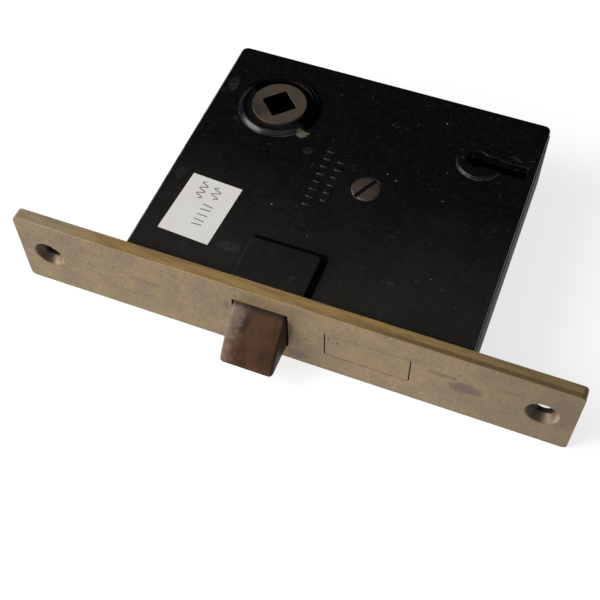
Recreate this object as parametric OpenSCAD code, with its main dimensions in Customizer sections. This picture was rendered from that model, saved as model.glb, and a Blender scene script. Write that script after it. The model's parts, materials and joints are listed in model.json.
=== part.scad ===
// Mortise lock for an interior door: a cast case with a screwed cap, a brass front, a bevelled latch bolt worked
// by a square-holed hub, and a deadbolt with three lever tumblers worked by a bit key.
// Origin: centre of the front's outer face. +X along the front towards the deadbolt end, +Y into the door,
// +Z through the thickness towards the cap.

/* [Front] */
// Length of the brass front
front_len = 168; // [160:1:176]
// Width of the brass front
front_w = 27.8; // [27.2:0.1:32]
// Thickness of the brass front
front_t = 4; // [3.2:0.1:4]
// Corner radius of the brass front
front_corner_r = 1.6; // [0.5:0.1:3]
// Distance between the two wood screw holes
front_screw_pitch = 149.6; // [140:0.1:152]
// Radius of the wood screw clearance hole
front_screw_r = 2.6; // [2:0.1:3]
// Radius of the countersink at the outer face
front_sink_r = 4.9; // [4:0.1:5.5]

/* [Case and cap] */
// Distance from the front's centre to the case's latch end
case_left = 49.9; // [49.5:0.1:56]
// Distance from the front's centre to the case's deadbolt end
case_right = 53.4; // [53.2:0.1:58]
// Distance from the front's outer face to the back of the case
case_back = 91.4; // [91.2:0.1:96]
// Outer thickness of the case with its cap
case_t = 24.5; // [24.3:0.1:25]
// Thickness of the cast walls, the base and the cap
wall = 2.4; // [2:0.1:2.4]
// Height of the turned bosses around the hub
boss_h = 1.2; // [0.8:0.1:1.3]
// Radius of the cap screw's head
cap_screw_r = 4.5; // [4:0.1:4.6]

/* [Hub and retractor] */
// Distance from the front's outer face to the hub and the keyhole
backset = 69.9; // [69.8:0.1:70]
// Hub position along the front
hub_x = -28.6; // [-28.7:0.1:-28.5]
// Radius of the hub's bearing journals
hub_r = 8.6; // [8.4:0.05:8.65]
// Side of the square spindle hole
spindle_side = 8.1; // [7.9:0.1:8.4]
// Distance from the hub's axis to the centre of each lobe tip
lobe_reach = 11.5; // [11.4:0.05:11.5]
// Radius of each lobe tip
lobe_tip_r = 1.8; // [1.6:0.05:1.8]
// Angle of the lobe above the front's direction at rest
lobe_rest_angle = 22; // [21.5:0.5:22]
// Slope of the retractor lever at rest
retractor_rest_angle = -10.1; // [-10.1:0.05:-9.9]

/* [Latch bolt] */
// Latch bolt position along the front
latch_x = -6.7; // [-6.8:0.1:-6.6]
// Width of the latch bolt along the front
latch_w = 16.2; // [15:0.1:16.4]
// Thickness of the latch bolt
latch_t = 15; // [14:0.1:15.2]
// How far the latch bolt stands out of the front
latch_out = 12; // [11.8:0.1:13]
// Height of the blunt nose left by the bevel
latch_nose = 2.1; // [1.5:0.1:3]

/* [Deadbolt] */
// Deadbolt position along the front
deadbolt_x = 25.2; // [25:0.1:25.4]
// Width of the deadbolt head along the front
deadbolt_w = 24.7; // [24:0.1:25]
// Thickness of the deadbolt head
deadbolt_t = 10.4; // [10:0.1:10.6]
// Travel of the deadbolt
deadbolt_throw = 12; // [11:0.5:12]

/* [Tumblers and keyhole] */
// Keyhole position along the front
key_x = 35.5; // [35.3:0.1:35.6]
// Radius of the keyhole's barrel
key_r = 3.2; // [3:0.1:3.4]
// Width of the slot for the key's bit
key_slot_w = 4.7; // [4.5:0.1:5]
// Distance from the barrel's axis to the end of the slot
key_slot_reach = 15; // [14:0.1:15.1]
// Thickness of one tumbler
tumbler_t = 2; // [1.8:0.1:2]
// Angle that a thrown bolt holds the tumblers at
tumbler_lift = 3; // [2.5:0.1:3]

/* [Hidden] */
fine = 64;
eps = 0.05;
gap = 0.25;
run_fit = 0.08;
tight = 0.01;
// levels through the thickness
z_top = case_t / 2;
z_base = -z_top;
z_floor = z_base + wall;
z_roof = z_top - wall;
// inside faces of the walls
in_left = -case_left + wall;
in_right = case_right - wall;
in_front = front_t + wall;
in_back = case_back - wall;
// axes that run through the thickness
hub_c = [hub_x, backset];
key_c = [key_x, backset];
cap_screw_c = [7.9, 47.5];
retractor_c = [-42.5, 82.5];
retractor_pin_c = [-9, 62];
tumbler_c = [20.5, 38];
stump_c = [15.2, 82.8];
latch_pin_c = [latch_x, 11.5];
// radii of small pieces
post_r = 5;
cap_shank_r = 2;
retractor_stud_r = 2;
retractor_eye_r = 3.9;
retractor_pin_r = 1.8;
tumbler_stud_r = 2.5;
stump_r = 1.8;
stud_tail_r = 1.6;
rivet_r = 2;
rivet_x = [-32, 7.1, 45];
// brass left in front of each rivet
rivet_skin = 0.9;
boss_crest_r = 11.6;
boss_foot_r = 12.8;
key_boss_r = 6.9;
key_boss_h = 0.8;
// retractor and lobes share one layer, the latch strap lies under it
lever_z = [1.9, 4.9];
strap_z = [-1.5, 1.5];
strap_w = 7;
strap_wide_w = 15;
window_w = 9.8;
window_front_y = 48;
rib_y = [37, 40];
latch_rear_y = 15;
// deadbolt tail and the tumblers stacked over it
tail_z = [-deadbolt_t / 2, -2];
tumbler_gap = 0.2;
tumbler_z0 = -1.7;
deadbolt_rear_y = 26;
tumbler_top = tumbler_z0 + 3 * tumbler_t + 2 * tumbler_gap;
spring_t = 0.45;
label_size = [16.2, 22.3, 0.12];
label_c = [-34.8, 23.6];
label_turn = -3.5;

// a point turned about the origin by an angle
function turned(p, a) = [p[0] * cos(a) - p[1] * sin(a), p[0] * sin(a) + p[1] * cos(a)];

// a box given by its limits along each axis
module box(x, y, z) {
    translate([x[0], y[0], z[0]]) cube([x[1] - x[0], y[1] - y[0], z[1] - z[0]]);
}

// a round bar along Z
module rod(c, r, z) {
    translate([c[0], c[1], z[0]]) cylinder(r = r, h = z[1] - z[0], $fn = fine);
}

// a rectangle centred on the origin with round corners
module round_rect(w, h, r) {
    square([w - 2 * r, h], center = true);
    square([w, h - 2 * r], center = true);
    for (sx = [-1, 1], sy = [-1, 1]) translate([sx * (w / 2 - r), sy * (h / 2 - r)]) circle(r = r, $fn = 32);
}

// the left-hand unit normal of a polyline's bar, with the end bars repeated past both ends
function bar_normal(points, i) =
    let (k = max(0, min(len(points) - 2, i)), step = points[k + 1] - points[k]) [-step[1], step[0]] / norm(step);

// the mitre at one point of a polyline: how far a parallel line at distance 1 moves the point
function mitre(points, i) =
    let (a = bar_normal(points, i - 1), b = bar_normal(points, i)) (a + b) / (1 + a * b);

// a bent strip of one thickness along a polyline
module bent_strip(points, t) {
    last = len(points) - 1;
    left = [for (i = [0 : last]) points[i] + mitre(points, i) * t / 2];
    right = [for (i = [last : -1 : 0]) points[i] - mitre(points, i) * t / 2];
    polygon(concat(left, right));
}

// the outline shared by case and cap, with its back corners rounded
module case_outline(inset) {
    r = 2;
    x0 = -case_left + inset;
    x1 = case_right - inset;
    y1 = case_back - inset;
    translate([x0, front_t]) square([x1 - x0, y1 - front_t - r]);
    translate([x0 + r, front_t]) square([x1 - x0 - 2 * r, y1 - front_t]);
    for (x = [x0 + r, x1 - r]) translate([x, y1 - r]) circle(r = r, $fn = 32);
}

// the round boss with a raised rim that surrounds the hub, standing on z = 0
module hub_boss() {
    rotate_extrude($fn = 96) polygon([[hub_r - 1, -1], [boss_foot_r, -1], [boss_foot_r, 0.1],
        [boss_foot_r - 0.5, 0.7], [boss_crest_r, boss_h], [boss_crest_r - 0.6, boss_h],
        [boss_crest_r - 1.2, boss_h - 0.6], [hub_r - 1, boss_h - 0.6]]);
}

// the low round boss around the keyhole's barrel, standing on z = 0
module key_boss() {
    rotate_extrude($fn = fine) polygon([[0, -1], [key_boss_r, -1], [key_boss_r, 0.1],
        [key_boss_r - 0.5, key_boss_h], [0, key_boss_h]]);
}

// the keyhole's barrel and slot, cut between two levels
module keyhole(z) {
    rod(key_c, key_r, z);
    box([key_x, key_x + key_slot_reach], [backset - key_slot_w / 2, backset + key_slot_w / 2], z);
}

module case() {
    color([0.10, 0.10, 0.11]) difference() {
        union() {
            difference() {
                translate([0, 0, z_base]) linear_extrude(z_roof - z_base) case_outline(0);
                box([in_left, in_right], [in_front, in_back], [z_floor, z_roof + 1]);
            }
            translate([hub_c[0], hub_c[1], z_base]) mirror([0, 0, 1]) hub_boss();
            // post for the cap screw
            rod(cap_screw_c, post_r, [z_floor - eps, z_roof]);
            // rib that guides the latch strap and carries its spring
            box([latch_x - 7.5, latch_x + 7.5], rib_y, [z_floor - eps, latch_t / 2]);
            // rails under the latch bolt, the deadbolt head and its tail
            for (x = [latch_x - 5, latch_x + 4]) {
                box([x, x + 1.5], [in_front - eps, 24], [z_floor - eps, -latch_t / 2 - 0.15]);
            }
            for (x = [16, 33]) box([x, x + 2], [in_front - eps, 24], [z_floor - eps, tail_z[0] - 0.15]);
            box([12, 27], [60, 62.5], [z_floor - eps, tail_z[0] - 0.15]);
            // stop for the tumbler springs
            box([4, 7], [64, 73], [z_floor - eps, tumbler_top + 0.6]);
            // lug that holds the retractor spring against the back wall
            box([in_left - eps, -45.2], [85.6, 87.3], [z_floor - eps, 6]);
        }
        rod(cap_screw_c, cap_shank_r, [-4, z_roof + 1]);
        rod(hub_c, hub_r + run_fit, [z_base - 5, z_floor + 1]);
        keyhole([z_base - 5, z_floor + 1]);
        for (c = [retractor_c, tumbler_c]) rod(c, stud_tail_r, [z_base - 1, z_floor + 1]);
        // openings in the front wall for the two bolts
        box([latch_x - latch_w / 2 - gap, latch_x + latch_w / 2 + gap], [front_t - 1, in_front + 1],
            [-latch_t / 2 - gap, latch_t / 2 + gap]);
        box([deadbolt_x - deadbolt_w / 2 - gap, deadbolt_x + deadbolt_w / 2 + gap], [front_t - 1, in_front + 1],
            [-deadbolt_t / 2 - gap, deadbolt_t / 2 + gap]);
        // notch for the latch strap
        box([latch_x - strap_w / 2 - gap, latch_x + strap_w / 2 + gap], [rib_y[0] - 1, rib_y[1] + 1],
            [strap_z[0] - gap, z_roof]);
        for (x = rivet_x) {
            translate([x, front_t - 1, 0]) rotate([-90, 0, 0]) cylinder(r = rivet_r, h = wall + 2, $fn = fine);
        }
    }
}

// one level of the latch pad: its limits along x, its back end, corner radius and height
module pad_level(x, rear, r, z) {
    box(x, [front_t, rear - r], z);
    for (c = [x[0] + r, x[1] - r]) translate([c, rear - r, z[0]]) cylinder(r = r, h = z[1] - z[0], $fn = 32);
}

// raised pad over the latch bolt, with sloping sides
module latch_pad() {
    hull() {
        pad_level([latch_x - 10.6, latch_x + 13.5], 20.4, 2.2, [z_top - 0.6, z_top]);
        pad_level([latch_x - 9.4, latch_x + 11.4], 18.5, 1.3, [z_top, z_top + 1.3]);
    }
}

module cap() {
    dash = [2.1, 1.9, 0.35];
    dash_pitch = 3.1;
    color([0.09, 0.09, 0.10]) difference() {
        union() {
            translate([0, 0, z_roof]) linear_extrude(wall) case_outline(0.3);
            translate([hub_c[0], hub_c[1], z_top]) hub_boss();
            translate([key_c[0] + 0.8, key_c[1] - 0.6, z_top]) key_boss();
            latch_pad();
            // plain raised dashes in two rows, where a founder's mark would be cast
            for (i = [0 : 7]) translate([-7.9, 35.6 + i * dash_pitch, z_top - eps]) cube(dash);
            for (i = [0 : 5]) translate([-3.4, 38.7 + i * dash_pitch, z_top - eps]) cube(dash);
            // lugs that locate the cap between the side walls
            box([in_left + gap, in_left + gap + 1.5], [20, 40], [z_roof - 1, z_roof + eps]);
            box([in_right - gap - 1.5, in_right - gap], [20, 40], [z_roof - 1, z_roof + eps]);
        }
        rod(hub_c, hub_r + run_fit, [z_roof - 1, z_top + 5]);
        keyhole([z_roof - 1, z_top + 5]);
        rod(cap_screw_c, cap_shank_r + 0.2, [z_roof - 1, z_top + 1]);
        rod(cap_screw_c, cap_screw_r + 0.15, [z_top - 1, z_top + 1]);
        // hollow under the latch pad
        box([latch_x - 8.6, latch_x + 9], [in_front, 17.2], [z_roof - 1, z_roof + 1.2]);
    }
}

module cap_screw() {
    slot_turn = 62;
    head_z = z_top - 1;
    color([0.30, 0.27, 0.24]) difference() {
        union() {
            rod(cap_screw_c, cap_shank_r - tight, [-3.5, head_z + eps]);
            translate([cap_screw_c[0], cap_screw_c[1], head_z]) rotate_extrude($fn = fine) polygon([[0, 0],
                [cap_screw_r, 0], [cap_screw_r, 1.05], [cap_screw_r - 0.5, 1.35], [0, 1.55]]);
        }
        translate([cap_screw_c[0], cap_screw_c[1], z_top - 0.25]) rotate(slot_turn)
            translate([-6, -0.6, 0]) cube([12, 1.2, 3]);
    }
}

// a hole through the front, along Y, flared to the countersink
module screw_hole() {
    sink_depth = front_sink_r - front_screw_r;
    rotate([-90, 0, 0]) {
        translate([0, 0, -1]) cylinder(r = front_screw_r, h = front_t + 2, $fn = fine);
        translate([0, 0, -eps]) cylinder(r1 = front_sink_r + eps, r2 = front_screw_r,
            h = sink_depth + eps, $fn = fine);
    }
}

module faceplate() {
    color([0.60, 0.52, 0.34]) difference() {
        translate([0, front_t, 0]) rotate([90, 0, 0]) linear_extrude(front_t)
            round_rect(front_len, front_w, front_corner_r);
        for (s = [-1, 1]) translate([s * front_screw_pitch / 2, 0, 0]) screw_hole();
        box([latch_x - latch_w / 2 - gap, latch_x + latch_w / 2 + gap], [-1, front_t + 1],
            [-latch_t / 2 - gap, latch_t / 2 + gap]);
        box([deadbolt_x - deadbolt_w / 2 - gap, deadbolt_x + deadbolt_w / 2 + gap], [-1, front_t + 1],
            [-deadbolt_t / 2 - gap, deadbolt_t / 2 + gap]);
        // blind holes for the rivets, from the back
        for (x = rivet_x) {
            translate([x, rivet_skin, 0]) rotate([-90, 0, 0]) cylinder(r = rivet_r, h = front_t + 2, $fn = fine);
        }
    }
}

module faceplate_rivets() {
    color([0.60, 0.52, 0.34]) for (x = rivet_x) {
        translate([x, rivet_skin, 0]) rotate([-90, 0, 0])
            cylinder(r = rivet_r - tight, h = in_front + 0.6 - rivet_skin, $fn = fine);
    }
}

module hub() {
    core_r = 7.5;
    flange_r = 10.2;
    square_reach = spindle_side / 2;
    color([0.36, 0.29, 0.24]) translate([hub_c[0], hub_c[1], 0]) difference() {
        union() {
            rod([0, 0], hub_r, [z_base - boss_h + 0.1, lever_z[0] - 0.4]);
            rod([0, 0], flange_r, [z_floor + 0.2, lever_z[0] - 0.6]);
            rod([0, 0], core_r, [lever_z[0] - 1, lever_z[1] + 1]);
            rod([0, 0], hub_r, [lever_z[1] + 0.4, z_top + boss_h + 0.2]);
            rod([0, 0], hub_r + 1, [z_roof - 1.6, z_roof - 0.2]);
            for (a = [lobe_rest_angle, 180 - lobe_rest_angle]) rotate(a) {
                rod([lobe_reach, 0], lobe_tip_r, lever_z);
                box([0, lobe_reach], [-lobe_tip_r, lobe_tip_r], lever_z);
            }
        }
        rotate(45) translate([-square_reach, -square_reach, -30]) cube([spindle_side, spindle_side, 60]);
    }
}

module retractor_lever() {
    edge = -2;
    rear = 1.4;
    pin = turned(retractor_pin_c - retractor_c, -retractor_rest_angle);
    color([0.42, 0.41, 0.40]) translate([retractor_c[0], retractor_c[1], lever_z[0]]) rotate(retractor_rest_angle)
        linear_extrude(lever_z[1] - lever_z[0]) difference() {
            union() {
                circle(r = retractor_eye_r, $fn = fine);
                polygon([[0, edge], [28.6, edge], pin + [-3.2, -1], pin + [3.2, 1], [31.4, rear], [0, rear]]);
                translate(pin) circle(r = 3.35, $fn = fine);
            }
            circle(r = retractor_stud_r + run_fit, $fn = fine);
            translate(pin) circle(r = retractor_pin_r, $fn = fine);
        }
}

module retractor_pin() {
    color([0.55, 0.55, 0.54]) rod(retractor_pin_c, retractor_pin_r - tight, [strap_z[0] - 0.9, lever_z[1]]);
}

module retractor_stud() {
    color([0.50, 0.50, 0.49]) union() {
        rod(retractor_c, stud_tail_r - tight, [z_base + 0.2, z_floor + eps]);
        rod(retractor_c, retractor_stud_r + 1.2, [z_floor, lever_z[0] - 0.1]);
        rod(retractor_c, retractor_stud_r, [lever_z[0] - 0.2, z_roof - 0.3]);
    }
}

module retractor_spring() {
    color([0.35, 0.36, 0.40]) translate([0, 0, lever_z[0] + 0.2]) linear_extrude(2.6)
        bent_strip([[-46.8, 88.3], [-37, 88.3], [-33, 87.2], [-21.5, 81.1], [-19.6, 80.5]], 0.6);
}

// side outline of the latch bolt head: blunt nose, slightly rounded bevel, square body
module latch_profile() {
    half_t = latch_t / 2;
    nose_top = -half_t + latch_nose;
    steps = 8;
    bulge = 0.7;
    bevel_y = latch_out + 0.4;
    bevel_h = half_t - nose_top;
    slope = [bevel_y, bevel_h] / norm([bevel_y, bevel_h]);
    out = [-slope[1], slope[0]];
    bevel = [for (i = [0 : steps]) [-latch_out, nose_top] + slope * norm([bevel_y, bevel_h]) * i / steps
        + out * bulge * sin(180 * i / steps)];
    polygon(concat([[-latch_out, -half_t]], bevel, [[latch_rear_y, half_t], [latch_rear_y, -half_t]]));
}

module latch_bolt() {
    color([0.36, 0.20, 0.13]) difference() {
        translate([latch_x - latch_w / 2, 0, 0]) rotate([90, 0, 90]) linear_extrude(latch_w) latch_profile();
        box([latch_x - strap_w / 2 - tight, latch_x + strap_w / 2 + tight], [8, latch_rear_y + 1],
            [strap_z[0] - tight, strap_z[1] + tight]);
        rod(latch_pin_c, 1.5, [-latch_t, latch_t]);
    }
}

module latch_strap() {
    window_rear_y = retractor_pin_c[1] + retractor_pin_r + 0.06;
    color([0.45, 0.44, 0.43]) difference() {
        union() {
            box([latch_x - strap_w / 2, latch_x + strap_w / 2], [8, 46], strap_z);
            box([latch_x - strap_wide_w / 2, latch_x + strap_wide_w / 2], [45, window_rear_y + 4], strap_z);
        }
        box([latch_x - window_w / 2, latch_x + window_w / 2], [window_front_y, window_rear_y], [-3, 3]);
        rod(latch_pin_c, 1.5, [-3, 3]);
    }
}

module latch_cross_pin() {
    color([0.50, 0.50, 0.49]) rod(latch_pin_c, 1.5 - tight, [-latch_t / 2 + 0.1, latch_t / 2 - 0.1]);
}

// a coil spring along Y: a small ring of points swept along a helix
module latch_spring() {
    coil_r = 5.4;
    wire_r = 0.5;
    turns = 7;
    per_turn = 14;
    sides = 6;
    y0 = latch_rear_y + wire_r + 0.05;
    y1 = rib_y[0] - wire_r - 0.05;
    last = turns * per_turn;
    rings = [for (i = [0 : last]) let (a = 360 * i / per_turn, y = y0 + (y1 - y0) * i / last)
        [for (j = [0 : sides - 1]) let (b = 360 * j / sides, r = coil_r + wire_r * cos(b))
            [latch_x + r * cos(a), y + wire_r * sin(b), r * sin(a)]]];
    points = [for (ring = rings) for (p = ring) p];
    walls = [for (i = [0 : last - 1], j = [0 : sides - 1]) let (k = (j + 1) % sides)
        [i * sides + j, i * sides + k, (i + 1) * sides + k, (i + 1) * sides + j]];
    ends = [[for (j = [sides - 1 : -1 : 0]) j], [for (j = [0 : sides - 1]) last * sides + j]];
    color([0.50, 0.51, 0.53]) polyhedron(points, concat(walls, ends));
}

module deadbolt() {
    slot_half_w = tumbler_stud_r + 0.3;
    talon = [70.9, 80.9];
    color([0.62, 0.53, 0.33]) difference() {
        union() {
            box([deadbolt_x - deadbolt_w / 2, deadbolt_x + deadbolt_w / 2], [0, deadbolt_rear_y],
                [-deadbolt_t / 2, deadbolt_t / 2]);
            translate([0, 0, tail_z[0]]) linear_extrude(tail_z[1] - tail_z[0]) polygon([[14, 20], [31, 20],
                [31, 52], [27, 56], [27, talon[0]], [20.5, talon[0] + 1], [19.5, talon[0] + 3],
                [19.5, talon[1] - 3], [20.5, talon[1] - 1], [27, talon[1]], [27, 86], [26, 87], [12, 87],
                [11, 86], [11, 66], [14, 63]]);
        }
        box([tumbler_c[0] - slot_half_w, tumbler_c[0] + slot_half_w],
            [tumbler_c[1] - tumbler_stud_r - 0.3, tumbler_c[1] + tumbler_stud_r + 0.3 + deadbolt_throw],
            [tail_z[0] - 1, tail_z[1] + 1]);
        rod(stump_c, stump_r, [tail_z[0] - 1, tail_z[1] + 1]);
    }
}

module deadbolt_stump() {
    color([0.55, 0.55, 0.54]) rod(stump_c, stump_r - tight, [tail_z[0], tumbler_top + 0.2]);
}

module tumbler_stud() {
    color([0.50, 0.50, 0.49]) union() {
        rod(tumbler_c, stud_tail_r - tight, [z_base + 0.2, z_floor + eps]);
        rod(tumbler_c, tumbler_stud_r, [z_floor, z_roof - 0.1]);
    }
}

module tumbler_spacer() {
    color([0.60, 0.52, 0.34]) difference() {
        rod(tumbler_c, 4, [tumbler_top + tumbler_gap, z_roof - 0.1]);
        rod(tumbler_c, tumbler_stud_r + tight, [tumbler_top - 1, z_roof + 1]);
    }
}

// one lever tumbler: an eye on the stud, a belly for the key and a window for the deadbolt's stump
module tumbler(level, belly) {
    // where the stump stands in the tumbler's own frame once the bolt is thrown
    thrown = tumbler_c + turned(stump_c - [0, deadbolt_throw] - tumbler_c, -tumbler_lift);
    run = thrown - stump_c;
    half_gate = stump_r + 0.3;
    translate([0, 0, tumbler_z0 + level * (tumbler_t + tumbler_gap)]) linear_extrude(tumbler_t) difference() {
        union() {
            translate(tumbler_c) circle(r = 5, $fn = fine);
            polygon([[16.3, 38], [24.7, 38], [24.7, 57], [belly, 65], [belly, 75], [24, 80], [24, 87],
                [10.5, 87], [10.5, 68.5], [16.3, 61]]);
        }
        translate(tumbler_c) circle(r = tumbler_stud_r + run_fit, $fn = fine);
        // pockets at both ends of the window, joined by the gate
        for (p = [stump_c, thrown]) translate(p) square(2 * half_gate + 0.5, center = true);
        translate(stump_c) rotate(atan2(run[1], run[0])) translate([0, -half_gate]) square([norm(run), 2 * half_gate]);
        // slit that holds the end of the spring
        translate([16.2, 52]) square([1, 3.4]);
    }
}

module tumbler_1() {
    color([0.66, 0.56, 0.33]) tumbler(0, 25.6);
}

module tumbler_2() {
    color([0.66, 0.56, 0.33]) tumbler(1, 25.0);
}

module tumbler_3() {
    color([0.66, 0.56, 0.33]) tumbler(2, 25.9);
}

// flat spring from a tumbler's edge to the stop cast in the case
module tumbler_spring(level) {
    translate([0, 0, tumbler_z0 + level * (tumbler_t + tumbler_gap) + 0.3]) linear_extrude(tumbler_t - 0.6)
        bent_strip([[16.7, 52.4], [16.7, 54.1], [15.6, 55.6], [12.4, 58.6], [8.2, 66.5], [7.4, 69]], spring_t);
}

module tumbler_spring_1() {
    color([0.35, 0.36, 0.40]) tumbler_spring(0);
}

module tumbler_spring_2() {
    color([0.35, 0.36, 0.40]) tumbler_spring(1);
}

module tumbler_spring_3() {
    color([0.35, 0.36, 0.40]) tumbler_spring(2);
}

module paper_label() {
    color([0.86, 0.86, 0.84]) translate([label_c[0], label_c[1], z_top + label_size[2] / 2]) rotate(label_turn)
        cube(label_size, center = true);
}

case();
cap();
cap_screw();
faceplate();
faceplate_rivets();
hub();
retractor_lever();
retractor_pin();
retractor_stud();
retractor_spring();
latch_bolt();
latch_strap();
latch_cross_pin();
latch_spring();
deadbolt();
deadbolt_stump();
tumbler_stud();
tumbler_spacer();
tumbler_1();
tumbler_2();
tumbler_3();
tumbler_spring_1();
tumbler_spring_2();
tumbler_spring_3();
paper_label();
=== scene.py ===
"""Looks for the mortise lock: camera, light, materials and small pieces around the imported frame."""

import json
import math

import bmesh
import bpy
from mathutils import Matrix, Vector


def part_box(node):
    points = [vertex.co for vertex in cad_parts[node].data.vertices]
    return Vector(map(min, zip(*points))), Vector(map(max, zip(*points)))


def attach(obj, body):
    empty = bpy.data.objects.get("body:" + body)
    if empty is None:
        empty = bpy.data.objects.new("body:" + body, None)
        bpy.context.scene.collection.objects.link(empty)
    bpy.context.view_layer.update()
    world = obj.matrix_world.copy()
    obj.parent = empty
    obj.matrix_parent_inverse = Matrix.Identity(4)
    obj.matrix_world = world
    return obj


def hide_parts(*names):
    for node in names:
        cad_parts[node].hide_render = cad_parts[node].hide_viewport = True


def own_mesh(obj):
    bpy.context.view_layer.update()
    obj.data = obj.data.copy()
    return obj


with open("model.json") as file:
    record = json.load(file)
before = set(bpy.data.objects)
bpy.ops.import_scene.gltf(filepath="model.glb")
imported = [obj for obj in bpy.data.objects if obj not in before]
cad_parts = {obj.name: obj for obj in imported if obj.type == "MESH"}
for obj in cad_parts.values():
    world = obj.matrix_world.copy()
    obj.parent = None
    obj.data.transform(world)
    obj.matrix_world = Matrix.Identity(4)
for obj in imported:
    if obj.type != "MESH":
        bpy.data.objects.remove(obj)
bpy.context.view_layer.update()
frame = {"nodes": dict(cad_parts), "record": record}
NODES = frame["nodes"]

MM = 0.001
FLOOR_Z = -13.92 * MM

# camera, as fitted to the lock's own edges
CAM_AT = Vector((64.96, -144.61, 247.55)) * MM
CAM_AZIMUTH = math.radians(22.31)
CAM_ELEVATION = math.radians(55.73)
CAM_ROLL = math.radians(-1.18)
CAM_LENS = 62.4

FLOOR_HALF = 6.0

# the studio's glow: where it comes from, where it starts and ends, and its two colours
GLOW_FROM = (-0.35, -0.50, 0.79)
GLOW_EDGE = (0.35, 0.95)
GLOW_DARK = (0.010, 0.012, 0.015)
GLOW_BRIGHT = (0.62, 0.62, 0.61)

# the way to each sun, its strength, its spread in degrees and its colour
SUNS = {
    "key": ((-0.75, -0.45, 0.50), 3.9, 46, (1.0, 0.985, 0.96)),
    "fill": ((0.75, -0.45, 0.55), 0.25, 70, (0.95, 0.97, 1.0)),
}


# ---------------------------------------------------------------- stage

def make_camera():
    ahead = Vector((-math.sin(CAM_AZIMUTH) * math.cos(CAM_ELEVATION),
                    math.cos(CAM_AZIMUTH) * math.cos(CAM_ELEVATION),
                    -math.sin(CAM_ELEVATION)))
    level = ahead.cross(Vector((0, 0, 1))).normalized()
    upright = level.cross(ahead)
    right = math.cos(CAM_ROLL) * level + math.sin(CAM_ROLL) * upright
    up = math.cos(CAM_ROLL) * upright - math.sin(CAM_ROLL) * level
    data = bpy.data.cameras.new("camera")
    data.lens = CAM_LENS
    data.sensor_width = 36
    data.clip_start = 0.005
    data.clip_end = 50
    camera = bpy.data.objects.new("camera", data)
    turn = Matrix((right, up, -ahead)).transposed().to_4x4()
    camera.matrix_world = Matrix.Translation(CAM_AT) @ turn
    bpy.context.scene.collection.objects.link(camera)
    bpy.context.scene.camera = camera


def make_sun(name, towards, strength, spread, colour):
    data = bpy.data.lights.new(name, "SUN")
    data.energy = strength
    data.angle = math.radians(spread)
    data.color = colour
    sun = bpy.data.objects.new(name, data)
    sun.rotation_mode = "QUATERNION"
    sun.rotation_quaternion = Vector(towards).to_track_quat("Z", "Y")
    bpy.context.scene.collection.objects.link(sun)


def make_floor():
    mesh = bpy.data.meshes.new("floor")
    corners = [(x * FLOOR_HALF, y * FLOOR_HALF, FLOOR_Z) for x, y in ((-1, -1), (1, -1), (1, 1), (-1, 1))]
    mesh.from_pydata(corners, [], [(0, 1, 2, 3)])
    floor = bpy.data.objects.new("floor", mesh)
    bpy.context.scene.collection.objects.link(floor)
    net = Net("floor_white")
    net.finish(colour=(0.32, 0.32, 0.318), rough=0.9, glow=0.74)
    mesh.materials.append(net.mat)


def make_world():
    """A dim studio: a soft glow from above the front, nearly dark behind, and a pale backdrop."""
    world = bpy.data.worlds.new("studio")
    bpy.context.scene.world = world
    world.use_nodes = True
    tree = world.node_tree
    tree.nodes.clear()
    out = tree.nodes.new("ShaderNodeOutputWorld")
    back = tree.nodes.new("ShaderNodeBackground")
    coord = tree.nodes.new("ShaderNodeTexCoord")
    dot = tree.nodes.new("ShaderNodeVectorMath")
    dot.operation = "DOT_PRODUCT"
    dot.inputs[1].default_value = Vector(GLOW_FROM).normalized()
    tree.links.new(coord.outputs["Generated"], dot.inputs[0])
    ramp = tree.nodes.new("ShaderNodeMapRange")
    ramp.interpolation_type = "SMOOTHSTEP"
    ramp.inputs["From Min"].default_value = GLOW_EDGE[0]
    ramp.inputs["From Max"].default_value = GLOW_EDGE[1]
    tree.links.new(dot.outputs["Value"], ramp.inputs["Value"])
    shade = tree.nodes.new("ShaderNodeMix")
    shade.data_type = "RGBA"
    shade.inputs["A"].default_value = (*GLOW_DARK, 1)
    shade.inputs["B"].default_value = (*GLOW_BRIGHT, 1)
    tree.links.new(ramp.outputs["Result"], shade.inputs["Factor"])
    seen = tree.nodes.new("ShaderNodeLightPath")
    pale = tree.nodes.new("ShaderNodeMix")
    pale.data_type = "RGBA"
    pale.inputs["B"].default_value = (1, 1, 1, 1)
    tree.links.new(seen.outputs["Is Camera Ray"], pale.inputs["Factor"])
    tree.links.new(shade.outputs["Result"], pale.inputs["A"])
    tree.links.new(pale.outputs["Result"], back.inputs["Color"])
    tree.links.new(back.outputs["Background"], out.inputs["Surface"])



# ---------------------------------------------------------------- material nets

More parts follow.
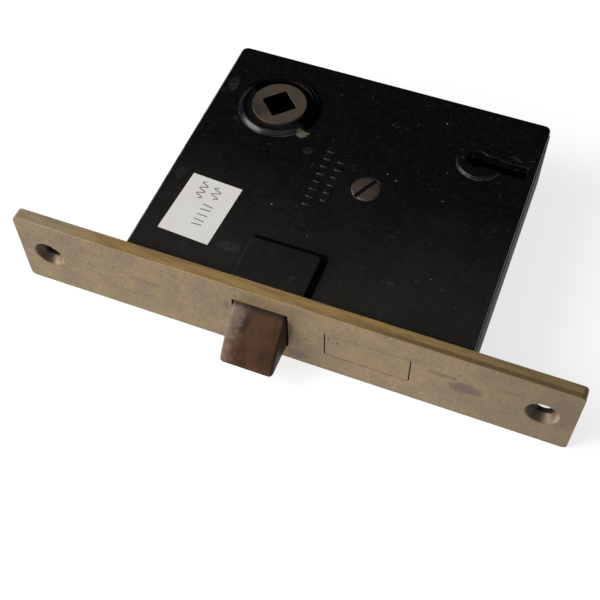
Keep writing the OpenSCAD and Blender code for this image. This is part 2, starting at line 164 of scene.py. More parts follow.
class Net:
    """Builds one material's nodes. Positions are in millimetres in the lock's own frame."""

    def __init__(self, name):
        self.mat = bpy.data.materials.new(name)
        self.mat.use_nodes = True
        self.tree = self.mat.node_tree
        self.tree.nodes.clear()
        coord = self.add("ShaderNodeTexCoord")
        self.at = self.vector("SCALE", coord.outputs["Object"], scale=1000)
        self.x, self.y, self.z = self.split(self.at)
        self.facing = self.split(coord.outputs["Normal"])

    def add(self, kind, **settings):
        node = self.tree.nodes.new(kind)
        for key, value in settings.items():
            setattr(node, key, value)
        return node

    def put(self, socket, value):
        if isinstance(value, bpy.types.NodeSocket):
            self.tree.links.new(value, socket)
        elif isinstance(value, tuple) and len(value) == 3 and socket.type == "RGBA":
            socket.default_value = (*value, 1)
        else:
            socket.default_value = value

    def split(self, vector):
        node = self.add("ShaderNodeSeparateXYZ")
        self.put(node.inputs[0], vector)
        return node.outputs[0], node.outputs[1], node.outputs[2]

    def vector(self, operation, a, b=None, scale=None):
        node = self.add("ShaderNodeVectorMath", operation=operation)
        self.put(node.inputs[0], a)
        if b is not None:
            self.put(node.inputs[1], b)
        if scale is not None:
            self.put(node.inputs["Scale"], scale)
        return node.outputs["Value"] if operation in ("LENGTH", "DOT_PRODUCT") else node.outputs["Vector"]

    def calc(self, operation, a, b=0.0, clamp=False):
        node = self.add("ShaderNodeMath", operation=operation, use_clamp=clamp)
        self.put(node.inputs[0], a)
        self.put(node.inputs[1], b)
        return node.outputs[0]

    def ramp(self, value, low, high, to_low=0.0, to_high=1.0):
        """A smooth step from to_low at low to to_high at high."""
        node = self.add("ShaderNodeMapRange", interpolation_type="SMOOTHSTEP")
        for key, number in zip(("Value", "From Min", "From Max", "To Min", "To Max"),
                               (value, low, high, to_low, to_high)):
            self.put(node.inputs[key], number)
        return node.outputs["Result"]

    def stretched(self, stretch, shift=(0, 0, 0)):
        moved = self.vector("ADD", self.at, shift)
        return self.vector("MULTIPLY", moved, stretch)

    def noise(self, scale, detail=3.0, rough=0.55, stretch=(1, 1, 1), shift=(0, 0, 0), distort=0.0):
        node = self.add("ShaderNodeTexNoise")
        self.put(node.inputs["Vector"], self.stretched(stretch, shift))
        for key, number in (("Scale", scale), ("Detail", detail), ("Roughness", rough),
                            ("Distortion", distort)):
            node.inputs[key].default_value = number
        return node.outputs["Fac"]

    def cells(self, scale, stretch=(1, 1, 1), shift=(0, 0, 0), randomness=1.0):
        """Distance to the nearest of many scattered points."""
        node = self.add("ShaderNodeTexVoronoi")
        self.put(node.inputs["Vector"], self.stretched(stretch, shift))
        node.inputs["Scale"].default_value = scale
        node.inputs["Randomness"].default_value = randomness
        return node.outputs["Distance"]

    def mix(self, factor, a, b):
        node = self.add("ShaderNodeMix", data_type="RGBA")
        self.put(node.inputs["Factor"], factor)
        self.put(node.inputs["A"], a)
        self.put(node.inputs["B"], b)
        return node.outputs["Result"]

    def spot(self, centre, radii, wobble=0.35, grain=0.6, soft=0.5):
        """A stain: 1 inside an uneven ellipse round centre, 0 outside, along the axes with a radius."""
        parts = []
        for value, middle, radius in zip((self.x, self.y, self.z), centre, radii):
            if radius:
                off = self.calc("DIVIDE", self.calc("SUBTRACT", value, middle), radius)
                parts.append(self.calc("MULTIPLY", off, off))
        total = parts[0]
        for part in parts[1:]:
            total = self.calc("ADD", total, part)
        uneven = self.calc("MULTIPLY", self.calc("SUBTRACT", self.noise(grain, 3), 0.5), 4 * wobble)
        return self.ramp(self.calc("ADD", total, uneven), 1 + soft, 1 - soft)

    def rim(self, reach, samples=10):
        """1 on outward edges, fading over reach millimetres."""
        node = self.add("ShaderNodeAmbientOcclusion", samples=samples, inside=True, only_local=True)
        node.inputs["Distance"].default_value = reach * MM
        return self.calc("SUBTRACT", 1.0, node.outputs["AO"])

    def nook(self, reach, samples=6):
        """1 in inward corners, fading over reach millimetres."""
        node = self.add("ShaderNodeAmbientOcclusion", samples=samples, inside=False, only_local=False)
        node.inputs["Distance"].default_value = reach * MM
        return self.calc("SUBTRACT", 1.0, node.outputs["AO"])

    def bump(self, height, depth, strength=1.0, below=None):
        """A surface relief of depth millimetres, laid over another one if given."""
        node = self.add("ShaderNodeBump")
        node.inputs["Strength"].default_value = strength
        node.inputs["Distance"].default_value = depth * MM
        self.put(node.inputs["Height"], height)
        if below is not None:
            self.put(node.inputs["Normal"], below)
        return node.outputs["Normal"]

    def product(self, *factors):
        total = factors[0]
        for factor in factors[1:]:
            total = self.calc("MULTIPLY", total, factor)
        return total

    def toned(self, colour, factor, tone):
        """Blends a colour towards a tone."""
        return self.mix(factor, colour, tone)

    def away_from(self, centre):
        """Distance in the XY plane from a point."""
        flat = self.vector("MULTIPLY", self.vector("SUBTRACT", self.at, (*centre, 0)), (1, 1, 0))
        return self.vector("LENGTH", flat)

    def finish(self, colour, rough, metal=0.0, normal=None, specular=0.5, glow=0.0):
        shader = self.add("ShaderNodeBsdfPrincipled")
        self.put(shader.inputs["Base Color"], colour)
        self.put(shader.inputs["Roughness"], rough)
        self.put(shader.inputs["Metallic"], metal)
        shader.inputs["Specular IOR Level"].default_value = specular
        shader.inputs["Emission Color"].default_value = (1, 1, 1, 1)
        shader.inputs["Emission Strength"].default_value = glow
        if normal is not None:
            self.put(shader.inputs["Normal"], normal)
        out = self.add("ShaderNodeOutputMaterial")
        self.tree.links.new(shader.outputs[0], out.inputs[0])
        return self.mat


# ---------------------------------------------------------------- materials

HUB_AT = (-28.6, 69.9)
SCREW_HOLE_X = 74.8
CAP_SCREW_AT = (7.9, 47.5)


def black_enamel(net, tint, haze_and_sheen, haze_and_sheen_tone):
    """Stoved enamel on cast iron: satin black under hazy brown (on the cap a painted reflection), scuffed,
    dusty, rubbed lighter at its edges (part wear, part painted highlight).
    """
    base = net.toned(tint, haze_and_sheen, haze_and_sheen_tone)
    fine = net.noise(1.1, 5, 0.65)
    mottle = net.product(net.ramp(fine, 0.5, 0.8, 0, 0.5), net.calc("ADD", haze_and_sheen, 0.15))
    base = net.toned(base, mottle, (0.022, 0.020, 0.018))
    # dull scuffs in small drifts
    drift = net.ramp(net.noise(0.10, 3, shift=(7, 3, 0)), 0.50, 0.66)
    scuff = net.ramp(net.noise(0.42, 4, 0.6, distort=0.8), 0.60, 0.70)
    scuffed = net.product(drift, scuff)
    base = net.toned(base, net.product(scuffed, 0.7), (0.036, 0.034, 0.032))
    # short scratches, two ways
    for stretch, shift in (((0.10, 1.5, 1), (0, 0, 0)), ((1.4, 0.14, 1), (11, 5, 0))):
        line = net.ramp(net.noise(1.7, 2, 0.5, stretch, shift), 0.73, 0.78)
        base = net.toned(base, net.product(line, 0.55), (0.060, 0.057, 0.053))
    # specks of dust
    speck = net.ramp(net.cells(0.26), 0.085, 0.035)
    some = net.ramp(net.noise(0.30, 1, shift=(2, 9, 4)), 0.56, 0.60)
    base = net.toned(base, net.product(speck, some), (0.20, 0.20, 0.195))
    # lighter edges: part wear, part painted highlight
    edge = net.ramp(net.rim(0.5), 0.25, 0.6)
    edge_wear_and_highlight = net.product(edge, net.ramp(net.noise(0.45, 4), 0.40, 0.60))
    base = net.toned(base, net.product(edge_wear_and_highlight, 0.8), (0.085, 0.082, 0.076))
    rough = net.ramp(net.noise(0.6, 4), 0.3, 0.75, 0.30, 0.44)
    rough = net.calc("ADD", rough, net.product(scuffed, 0.2))
    normal = net.bump(net.noise(0.9, 4, 0.5), 0.05, 0.5)
    normal = net.bump(fine, 0.012, 0.6, normal)
    return base, rough, normal


def rubbed_and_lit_left_edge(net, base, low_z):
    """A bright line along the left edge of the case and the cap, on the lit side: part metal rubbed bare,
    part painted highlight.
    """
    line = net.product(net.ramp(net.x, -49.06, -49.24), net.ramp(net.z, low_z, low_z + 0.3))
    patchy = net.ramp(net.noise(0.22, 4), 0.36, 0.60, 0.2, 0.85)
    return net.toned(base, net.product(line, patchy), (0.135, 0.135, 0.131))


def black_iron():
    net = Net("black_iron")
    haze_and_sheen = net.ramp(net.noise(0.045, 4), 0.35, 0.7)
    base, rough, normal = black_enamel(net, (0.0050, 0.0050, 0.0050), haze_and_sheen, (0.0110, 0.0095, 0.0080))
    # a bright line on the case's left edge: part rubbed metal, part painted highlight
    base = rubbed_and_lit_left_edge(net, base, 9.3)
    return net.finish(base, net.calc("ADD", rough, 0.24), 0.0, normal, 0.13)


def black_iron_cap():
    """The cap's enamel: painted reflection, a hazy brown sheen towards the front, blacker towards the back.
    """
    net = Net("black_iron_cap")
    # painted reflection: hazy brown towards the front, fading to black towards the back
    uneven = net.product(net.calc("SUBTRACT", net.noise(0.05, 4), 0.5), 46)
    haze_and_sheen = net.ramp(net.calc("ADD", net.y, uneven), 60, -4)
    base, rough, normal = black_enamel(net, (0.0010, 0.0012, 0.0016), haze_and_sheen, (0.0138, 0.0122, 0.0104))
    # the face inside the boss is matt; the crest of its ring is lighter, part polished by use and part
    # painted highlight
    from_hub = net.away_from(HUB_AT)
    inside = net.ramp(from_hub, 11.25, 10.95)
    base = net.toned(base, inside, (0.0022, 0.0018, 0.0014))
    rough = net.mix(inside, rough, (0.42, 0.42, 0.42))
    crest = net.product(net.ramp(from_hub, 11.0, 11.3), net.ramp(from_hub, 13.2, 12.8))
    polish_and_highlight = net.product(crest, net.ramp(net.noise(0.35, 3), 0.40, 0.65, 0.0, 0.5))
    base = net.toned(base, polish_and_highlight, (0.016, 0.016, 0.017))
    off_hub = net.vector("SUBTRACT", net.at, (*HUB_AT, 0))
    rubbed_side = net.ramp(net.vector("DOT_PRODUCT", off_hub, (-0.45, -0.89, 0)), -1, 5)
    rough = net.mix(net.product(crest, rubbed_side), rough, (0.24, 0.24, 0.24))
    # painted shade: away from the rubbed side, the ring and the face inside it are darker and black
    # metallic, so they show no reflection
    far_side_painted_shade = net.product(net.ramp(from_hub, 13.6, 13.2), net.ramp(rubbed_side, 0.5, 0.1))
    base = net.toned(base, far_side_painted_shade, (0.0040, 0.0036, 0.0034))
    # painted shade: the latch pad's slopes at the right and back, which face away from the light, are black
    # and glossy; the painted reflection is dimmer round the pad, and a thin painted highlight runs along its
    # top edges
    near_pad = net.product(net.ramp(net.y, 21.5, 21.0), net.ramp(net.x, -18.5, -18.0),
                           net.ramp(net.x, 8.0, 7.5))
    base = net.toned(base, net.product(near_pad, 0.5), (0.0055, 0.0055, 0.0052))
    pad_slope_painted_shade = net.product(near_pad, net.ramp(net.facing[2], 0.94, 0.85), net.ramp(net.facing[0], -0.3, -0.1))
    base = net.toned(base, pad_slope_painted_shade, (0.0012, 0.0012, 0.0012))
    rough = net.mix(pad_slope_painted_shade, rough, (0.15, 0.15, 0.15))
    # painted highlight: a thin light line on the pad's top edges
    pad_rim_painted_highlight = net.product(near_pad, net.ramp(net.rim(0.5), 0.12, 0.35), net.ramp(net.z, 13.2, 13.4))
    base = net.toned(base, net.product(pad_rim_painted_highlight, 0.7), (0.052, 0.051, 0.049))
    # a bright line on the cap's left edge: part rubbed metal, part painted highlight
    base = rubbed_and_lit_left_edge(net, base, 11.8)
    on_top = net.ramp(net.z, 11.5, 12.0)
    # patches of grey dust left of the label, by the boss and beside the latch pad
    for centre, radii in (((-46.2, 34), (1.6, 2.2)), ((-46.0, 74), (1.5, 3.0)), ((-21.5, 13.5), (3.6, 1.6)),
                          ((-13.6, 55.5), (1.6, 1.3)), ((-39.5, 60.5), (0.8, 0.8))):
        dust = net.spot(centre, radii, 0.45, 0.7, 0.7)
        broken = net.ramp(net.noise(0.9, 4, 0.6), 0.42, 0.62, 0.15, 0.65)
        base = net.toned(base, net.product(dust, on_top, broken), (0.034, 0.033, 0.031))
    # a dab of yellow-green paint beside the hub, with a lobe on its right
    dab = net.calc("MAXIMUM", net.spot((-17.9, 61.3), (1.65, 1.5), 0.24, 0.9, 0.3),
                   net.spot((-16.1, 62.1), (0.55, 0.45), 0.2, 1.1, 0.4))
    base = net.toned(base, net.product(dab, on_top), (0.098, 0.092, 0.053))
    # metallic only in the painted shade, to take away its reflection
    return net.finish(base, rough, far_side_painted_shade, normal, 0.3)


def brass_base(net):
    """Aged brass: tan with pinkish grey clouds, fine mottling, pits and long scratches along X."""
    clouds = net.ramp(net.noise(0.11, 5, 0.6), 0.38, 0.64)
    tan = net.toned((0.254, 0.181, 0.092), clouds, (0.200, 0.143, 0.086))
    mottle = net.noise(0.75, 6, 0.7)
    tan = net.toned(tan, net.ramp(mottle, 0.48, 0.72, 0, 0.7), (0.120, 0.083, 0.044))
    tan = net.toned(tan, net.ramp(mottle, 0.46, 0.28, 0, 0.6), (0.310, 0.230, 0.128))
    pink = net.ramp(net.noise(0.33, 4, 0.6, shift=(5, 8, 2)), 0.50, 0.66)
    tan = net.toned(tan, net.product(pink, 0.55), (0.222, 0.144, 0.102))
    pits = net.ramp(net.cells(0.55), 0.11, 0.05)
    some = net.ramp(net.noise(0.3, 1, shift=(3, 1, 7)), 0.5, 0.62)
    tan = net.toned(tan, net.product(pits, some, 0.8), (0.080, 0.058, 0.036))
    for shift, tone in (((0, 0, 0), (0.36, 0.28, 0.18)), ((13, 0, 5), (0.125, 0.092, 0.060))):
        line = net.ramp(net.noise(1.9, 2, 0.5, (0.045, 1.2, 1.2), shift), 0.64, 0.72)
        tan = net.toned(tan, net.product(line, 0.4), tone)
    return tan, mottle


# stains on the front: where along X and Z, how wide each way, and how strong
FRONT_STAINS = (
    ((53.4, 0.2), (4.6, 2.4), 0.85),
    ((46.6, 3.6), (4.6, 0.9), 0.60),
    ((80.5, 3.0), (4.0, 8.0), 0.45),
    ((3.5, -10.0), (3.4, 2.2), 0.50),
    ((-17.0, 3.5), (1.1, 2.0), 0.45),
    ((2.6, -1.0), (0.8, 6.0), 0.35),
    ((66.0, 5.5), (3.0, 1.0), 0.45),
    ((-41.0, 2.0), (5.0, 1.2), 0.22),
    ((40.0, 6.0), (5.0, 1.4), 0.22),
    ((-60.0, 8.0), (4.0, 1.5), 0.22),
)


def front_brass():
    net = Net("front_brass")
    tan, mottle = brass_base(net)
    tan = net.toned(tan, net.ramp(net.x, 36, 74, 0, 0.45), (0.100, 0.074, 0.042))
    # the long top side is golden, with painted reflection: greyer and brighter at its left end, browner and
    # darker at its right
    top = net.product(net.ramp(net.z, 13.55, 13.75), net.ramp(net.facing[2], 0.80, 0.97))
    gold_and_reflection = net.mix(net.ramp(net.x, -84, -45), (0.430, 0.345, 0.240), (0.430, 0.272, 0.100))
    gold_and_reflection = net.toned(gold_and_reflection, net.ramp(net.x, 20, 75), (0.300, 0.208, 0.098))
    # a brown band beside the front arris, which widens towards the right end
    band = net.product(net.ramp(net.calc("ADD", net.y, net.product(net.noise(0.3, 3), 0.8)), 2.3, 1.6),
                       net.ramp(net.x, 2, 40))
    gold_and_reflection = net.toned(gold_and_reflection, net.product(band, 0.8), (0.120, 0.072, 0.032))
    streak = net.ramp(net.noise(0.9, 4, 0.6, (0.10, 1, 1)), 0.40, 0.68)
    gold_and_reflection = net.toned(gold_and_reflection, net.product(streak, 0.6), (0.185, 0.118, 0.046))
    tan = net.toned(tan, net.product(top, 0.9), gold_and_reflection)
    for centre, radii, strength in FRONT_STAINS:
        stain = net.spot((centre[0], 0, centre[1]), (radii[0], 0, radii[1]), 0.4, 0.45, 0.6)
        tan = net.toned(tan, net.product(stain, strength), (0.112, 0.066, 0.050))
    # painted shade in the countersinks, darkest on their left walls, which face away from the light, and
    # down the bore
    for side in (-1, 1):
        across = net.calc("SUBTRACT", net.x, side * SCREW_HOLE_X)
        flat = net.vector("MULTIPLY", net.vector("SUBTRACT", net.at, (side * SCREW_HOLE_X, 0, 0)), (1, 0, 1))
        in_hole = net.product(net.ramp(net.vector("LENGTH", flat), 4.9, 4.5), net.ramp(net.y, 0.05, 0.3))
        countersink_painted_shade = net.calc("MAXIMUM", net.ramp(across, 2.6, -0.6), net.ramp(net.y, 1.8, 2.4))
        tan = net.toned(tan, net.product(in_hole, countersink_painted_shade, 0.92), (0.024, 0.017, 0.009))
        # painted highlight on the countersinks' right walls, which face the light
        tan = net.toned(tan, net.product(in_hole, net.ramp(across, 3.0, 4.2), 0.5), (0.42, 0.37, 0.28))
    # arris rubbed lighter: part wear of the brass, part painted highlight
    rim = net.ramp(net.rim(0.6), 0.2, 0.6)
    edge_wear_and_highlight = net.product(rim, net.ramp(net.noise(0.4, 3), 0.3, 0.7, 0.35, 0.85))
    tan = net.toned(tan, edge_wear_and_highlight, (0.40, 0.345, 0.260))
    # painted shade: darker in inward corners, from ambient occlusion
    corner_painted_shade = net.ramp(net.nook(1.1), 0.25, 0.7)
    tan = net.toned(tan, net.product(corner_painted_shade, 0.7), (0.045, 0.032, 0.020))
    rough = net.ramp(mottle, 0.3, 0.75, 0.42, 0.60)
    normal = net.bump(net.noise(1.6, 4, 0.6), 0.02, 0.5)
    normal = net.bump(net.noise(2.2, 2, 0.5, (0.04, 1.2, 1.2)), 0.01, 0.5, normal)
    return net.finish(tan, rough, 0.5, normal)


def deadbolt_brass():
    net = Net("deadbolt_brass")
    tan, mottle = brass_base(net)
    tan = net.toned(tan, 0.35, (0.215, 0.150, 0.068))
    # painted shade: darker in inward corners, from ambient occlusion
    corner_painted_shade = net.ramp(net.nook(0.9), 0.25, 0.7)
    tan = net.toned(tan, net.product(corner_painted_shade, 0.7), (0.04, 0.028, 0.016))
    # chips by the upper left corner of its face
    for centre, radii in (((13.9, 3.4), (0.35, 1.1)), ((16.6, 2.3), (0.4, 1.0))):
        chip = net.spot((centre[0], 0, centre[1]), (radii[0], 0, radii[1]), 0.3, 1.4, 0.4)
        tan = net.toned(tan, net.product(chip, net.ramp(net.y, 3, 1), 0.7), (0.065, 0.045, 0.026))
    rough = net.ramp(mottle, 0.3, 0.75, 0.40, 0.56)
    normal = net.bump(net.noise(1.6, 4, 0.6), 0.02, 0.5)
    return net.finish(tan, rough, 0.5, normal)


def hub_bronze():
    """Brown bronze, greener and darker on one side; painted shade makes it nearly black and unreflective
    down the square hole.
    """
    net = Net("hub_bronze")
    base = net.toned((0.086, 0.062, 0.047), net.ramp(net.noise(0.22, 4), 0.4, 0.65), (0.064, 0.056, 0.044))
    green = net.product(net.ramp(net.x, -29, -34), net.ramp(net.y, 71, 66))
    base = net.toned(base, net.product(green, 0.7), (0.030, 0.030, 0.022))
    base = net.toned(base, net.ramp(net.noise(1.4, 5, 0.7), 0.5, 0.8, 0, 0.6), (0.034, 0.027, 0.022))
    rim = net.ramp(net.rim(0.4), 0.2, 0.55)
    base = net.toned(base, net.product(rim, 0.45), (0.125, 0.105, 0.080))
    # painted shade: nearly black, rougher and fully metallic down the square hole, so its walls show no
    # reflection
    upright = net.ramp(net.calc("ABSOLUTE", net.facing[2]), 0.5, 0.2)
    hole = net.product(upright, net.ramp(net.away_from(HUB_AT), 6.6, 6.2))
    base = net.toned(base, hole, (0.0012, 0.0011, 0.0011))
    normal = net.bump(net.noise(1.5, 4), 0.03, 0.5)
    rough = net.calc("ADD", 0.52, net.product(hole, 0.4))
    metal = net.calc("ADD", 0.3, net.product(hole, 0.7))
    return net.finish(base, rough, metal, normal, 0.2)


def latch_bronze():
    """Dark reddish bronze, rubbed grey and tan at the left of its bevel, with painted shade on its side that
    faces right.
    """
    net = Net("latch_bronze")
    clouds = net.ramp(net.noise(0.16, 4, shift=(4, 4, 4)), 0.4, 0.62)
    base = net.toned((0.058, 0.025, 0.0120), clouds, (0.033, 0.0165, 0.0095))
    streak = net.noise(0.5, 4, 0.6, (1.6, 0.3, 0.3))
    base = net.toned(base, net.ramp(streak, 0.46, 0.74, 0, 0.55), (0.082, 0.042, 0.026))
    base = net.toned(base, net.ramp(net.noise(1.0, 5, 0.65), 0.50, 0.78, 0, 0.6), (0.024, 0.012, 0.0075))
    blotch = net.spot((-9.9, -3.6), (1.5, 2.0), 0.5, 0.8, 0.6)
    base = net.toned(base, net.product(blotch, 0.7), (0.020, 0.010, 0.0065))
    # the left and the top left corner are rubbed bare
    slant = net.calc("ADD", net.x, net.product(net.y, -0.2))
    ragged = net.calc("ADD", slant, net.product(net.calc("SUBTRACT", net.noise(0.5, 4), 0.5), 7))
    rubbed = net.ramp(ragged, -7.6, -14.6)
    base = net.toned(base, net.product(rubbed, 0.85), (0.190, 0.142, 0.112))
    # painted shade: the side facing right, away from the light, is darker
    side = net.ramp(net.facing[0], 0.5, 0.8)
    base = net.toned(base, net.product(side, 0.7), (0.016, 0.0075, 0.004))
    rim = net.ramp(net.rim(0.6), 0.2, 0.55)
    nose = net.ramp(net.y, -10.6, -11.6)
    bare = net.product(rim, net.calc("ADD", net.product(nose, 0.5), 0.25))
    base = net.toned(base, bare, (0.24, 0.185, 0.145))
    seam = net.ramp(net.y, -1.3, -0.2)
    base = net.toned(base, net.product(seam, 0.75), (0.012, 0.008, 0.006))
    rough = net.ramp(net.noise(0.8, 4), 0.3, 0.75, 0.38, 0.56)
    normal = net.bump(net.noise(1.0, 5), 0.04, 0.5)
    return net.finish(base, rough, 0.0, normal, 0.09)


def screw_steel():
    net = Net("screw_steel")
    base = net.toned((0.072, 0.052, 0.040), net.ramp(net.noise(0.4, 4), 0.4, 0.65), (0.050, 0.040, 0.033))
    rim = net.ramp(net.rim(0.35), 0.2, 0.55)
    base = net.toned(base, net.product(rim, 0.5), (0.19, 0.17, 0.145))
    # nearly black down in the slot
    slot = net.product(net.ramp(net.z, 12.75, 12.25), net.ramp(net.away_from(CAP_SCREW_AT), 4.4, 4.0))
    base = net.toned(base, slot, (0.006, 0.004, 0.003))
    normal = net.bump(net.noise(2.0, 4), 0.03, 0.5)
    return net.finish(base, 0.5, 0.4, normal)


def plain_metal(name, light, dark, rough, metal):
    net = Net(name)
    base = net.mix(net.ramp(net.noise(0.6, 5, 0.65), 0.35, 0.7), light, dark)
    rim = net.ramp(net.rim(0.3, 4), 0.25, 0.6)
    base = net.mix(net.calc("MULTIPLY", rim, 0.35), base, tuple(min(1.0, 1.5 * c) for c in light))
    normal = net.bump(net.noise(2.4, 3, 0.5, (1, 0.15, 1)), 0.015, 0.5)
    return net.finish(base, rough, metal, normal)


def label_paper():
    net = Net("label_paper")
    fibre = net.noise(3.0, 5, 0.7)
    base = net.toned((0.700, 0.692, 0.668), net.ramp(fibre, 0.35, 0.7), (0.655, 0.646, 0.624))
    blush = net.ramp(net.noise(0.12, 3), 0.45, 0.65)
    base = net.toned(base, net.product(blush, 0.6), (0.672, 0.635, 0.612))
    return net.finish(base, 0.85, 0.0, net.bump(fibre, 0.02, 0.4), 0.3)


def pen_ink():
    net = Net("pen_ink")
    base = net.toned((0.10, 0.10, 0.11), net.ramp(net.noise(2.5, 3), 0.4, 0.65), (0.20, 0.20, 0.205))
    return net.finish(base, 0.7, 0.0)


MATERIALS = {
    "black_iron": black_iron(),
    "black_iron_cap": black_iron_cap(),
    "screw_steel": screw_steel(),
    "front_brass": front_brass(),
    "hub_bronze": hub_bronze(),
    "latch_bronze": latch_bronze(),
    "deadbolt_brass": deadbolt_brass(),
    "inner_steel": plain_metal("inner_steel", (0.36, 0.35, 0.34), (0.24, 0.23, 0.22), 0.42, 0.9),
    "spring_steel": plain_metal("spring_steel", (0.26, 0.28, 0.32), (0.16, 0.17, 0.21), 0.35, 0.9),
    "tumbler_brass": plain_metal("tumbler_brass", (0.55, 0.43, 0.22), (0.42, 0.31, 0.15), 0.38, 0.9),
    "label_paper": label_paper(),
}

# width of the softened edges of each node, in millimetres
EDGE_WIDTH = {
    "case": 0.35, "cap": 0.22, "cap_screw": 0.18, "faceplate": 0.25, "hub": 0.22,
    "latch_bolt": 1.1, "deadbolt": 0.2, "retractor_lever": 0.2, "latch_strap": 0.2,
}

WELD_WITHIN = 0.001 * MM
FLAT_WITHIN = math.radians(0.4)
SHARP_FROM = math.radians(24)


def soften(node, width):
    """Rounds a node's sharp edges; its own vertices stay as they are."""
    mesh = node.data
    if "custom_normal" in mesh.attributes:
        mesh.attributes.remove(mesh.attributes["custom_normal"])
    mesh.shade_smooth()
    weld = node.modifiers.new("weld", "WELD")
    weld.merge_threshold = WELD_WITHIN
    flat = node.modifiers.new("flat", "DECIMATE")
    flat.decimate_type = "DISSOLVE"
    flat.angle_limit = FLAT_WITHIN
    bevel = node.modifiers.new("edges", "BEVEL")
    bevel.width = width * MM
    bevel.segments = 2
    bevel.limit_method = "ANGLE"
    bevel.angle_limit = SHARP_FROM
    bevel.use_clamp_overlap = False
    bevel.miter_outer = "MITER_ARC"
    even = node.modifiers.new("even", "WEIGHTED_NORMAL")
    even.weight = 60
    even.keep_sharp = False


def dress_nodes():
    slots = {part["node"]: part["material_slot"] for part in frame["record"]["subparts"]}
    for name, node in NODES.items():
        node.data.materials.clear()
        node.data.materials.append(MATERIALS[slots[name]])
        if name in EDGE_WIDTH:
            soften(node, EDGE_WIDTH[name])


# ---------------------------------------------------------------- springs

BODY_OF = {node: body for body, nodes in frame["record"]["behaviour"]["bodies"].items() for node in nodes}

# the retractor lever's back lifts the free end of its leaf spring by 7.0 mm of its 8.4 mm height
LEAF_EDGE_WIDTH = 0.08
TUMBLER_SPRING_EDGE_WIDTH = 0.06


def add_spring(name, mesh, node):
    """Puts a spring in a node's place, in spring steel, on the node's body."""
    spring = bpy.data.objects.new(name, mesh)
    bpy.context.scene.collection.objects.link(spring)
    mesh.materials.clear()
    mesh.materials.append(MATERIALS["spring_steel"])
    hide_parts(node)
    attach(spring, BODY_OF[node])
    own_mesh(spring)


def coil_mesh(low, high, turns=7, wire=0.5 * MM, per_turn=32, sides=10):
    """A round wire wound along Y inside a box, its last turn at each end closed up."""
    centre_x = (low[0] + high[0]) / 2
    centre_z = (low[2] + high[2]) / 2
    radius = (high[0] - low[0]) / 2 - wire
    start, end = low[1] + wire, high[1] - wire
    lead = 2.2 * wire
    steps = turns * per_turn
    mesh = bmesh.new()
    rings = []
    for i in range(steps + 1):
        turn = i / per_turn
        if turn < 1:
            along = start + lead * turn
        elif turn > turns - 1:
            along = end - lead * (turns - turn)
        else:
            along = start + lead + (end - start - 2 * lead) * (turn - 1) / (turns - 2)
        angle = math.tau * turn
        ring = []
        for j in range(sides):
            around = math.tau * j / sides
            reach = radius + wire * math.cos(around)
            ring.append(mesh.verts.new((centre_x + reach * math.cos(angle), along + wire * math.sin(around),
                                        centre_z + reach * math.sin(angle))))
        rings.append(ring)
    for a, b in zip(rings, rings[1:]):
        for j in range(sides):
            mesh.faces.new((a[j], a[(j + 1) % sides], b[(j + 1) % sides], b[j]))
    mesh.faces.new(list(reversed(rings[0])))
    mesh.faces.new(rings[-1])
    bmesh.ops.recalc_face_normals(mesh, faces=mesh.faces)
    data = bpy.data.meshes.new("coil")
    mesh.to_mesh(data)
    mesh.free()
    data.shade_smooth()
    return data


def rounded_copy(node, width):
    """A node's own shape with its edges rounded, as a finished mesh."""
    scratch = bpy.data.objects.new("scratch", NODES[node].data.copy())
    bpy.context.scene.collection.objects.link(scratch)
    soften(scratch, width)
    bpy.context.view_layer.update()
    shape = bpy.data.meshes.new_from_object(scratch.evaluated_get(bpy.context.evaluated_depsgraph_get()))
    bpy.data.objects.remove(scratch)
    return shape


def make_springs():
    """Puts a wound coil and rounded leaf springs in the places of the spring nodes."""
    low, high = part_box("latch_spring")
    add_spring("latch_coil_spring", coil_mesh(low, high), "latch_spring")
    low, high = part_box("retractor_spring")
    add_spring("retractor_leaf_spring", rounded_copy("retractor_spring", LEAF_EDGE_WIDTH),
               "retractor_spring")
    for i in (1, 2, 3):
        node = f"tumbler_spring_{i}"
        low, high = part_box(node)
        add_spring(f"tumbler_leaf_spring_{i}", rounded_copy(node, TUMBLER_SPRING_EDGE_WIDTH), node)


# ---------------------------------------------------------------- pen marks on the label

LABEL_TURN = math.radians(-3.5)
PEN_WIDTH = 0.34 * MM
INK_HEIGHT = 0.02 * MM


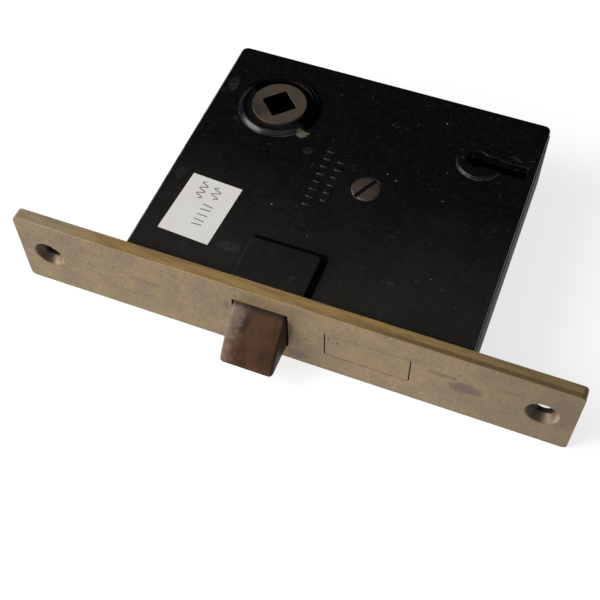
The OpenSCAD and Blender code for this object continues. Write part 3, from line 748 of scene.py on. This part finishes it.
def ribbon(mesh, points, place):
    """A thin closed bar along a line of flat points, put in its place by a function."""
    half = PEN_WIDTH / 2
    rings = []
    for i, point in enumerate(points):
        ahead = points[min(i + 1, len(points) - 1)] - points[max(i - 1, 0)]
        across = Vector((-ahead.y, ahead.x)).normalized() * half
        left, right = point + across, point - across
        corners = ((left, 0), (right, 0), (right, INK_HEIGHT), (left, INK_HEIGHT))
        rings.append([mesh.verts.new(place(flat, height)) for flat, height in corners])
    for a, b in zip(rings, rings[1:]):
        for k in range(4):
            mesh.faces.new((a[k], a[(k + 1) % 4], b[(k + 1) % 4], b[k]))
    mesh.faces.new(list(reversed(rings[0])))
    mesh.faces.new(rings[-1])


def wave(start, length, swing, turns):
    """A plain zigzag with round bends, running along the label's own Y."""
    steps = 12 * turns
    points = []
    for i in range(steps + 1):
        sideways = swing * math.sin(math.tau * turns * i / steps)
        points.append(Vector((start[0] + sideways, start[1] + length * i / steps)) * MM)
    return points


def make_label_marks():
    """Two rows of meaningless pen marks in place of the handwriting."""
    low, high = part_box("paper_label")
    middle = (Vector(low) + Vector(high)) / 2
    turn = Matrix.Rotation(LABEL_TURN, 2)

    def place(flat, height):
        spot = turn @ flat
        return (middle.x + spot.x, middle.y + spot.y, high[2] + height)

    mesh = bmesh.new()
    ribbon(mesh, wave((-2.75, 3.1), 6.4, 1.1, 3), place)
    for i in range(5):
        lean = 0.35 * math.cos(2.3 * i)
        at = -6.0 + 1.9 * i
        ribbon(mesh, [Vector((0.0, at)) * MM, Vector((3.3, at + lean)) * MM], place)
    ribbon(mesh, wave((1.7, 4.4), 4.4, 1.3, 2), place)
    bmesh.ops.recalc_face_normals(mesh, faces=mesh.faces)
    data = bpy.data.meshes.new("label_marks")
    mesh.to_mesh(data)
    mesh.free()
    marks = bpy.data.objects.new("label_marks", data)
    bpy.context.scene.collection.objects.link(marks)
    data.materials.append(pen_ink())
    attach(marks, "lock_body")


make_camera()
make_world()
make_floor()
for sun_name, settings in SUNS.items():
    make_sun(sun_name, *settings)
dress_nodes()
make_label_marks()
make_springs()
bpy.context.scene.view_settings.view_transform = "Standard"
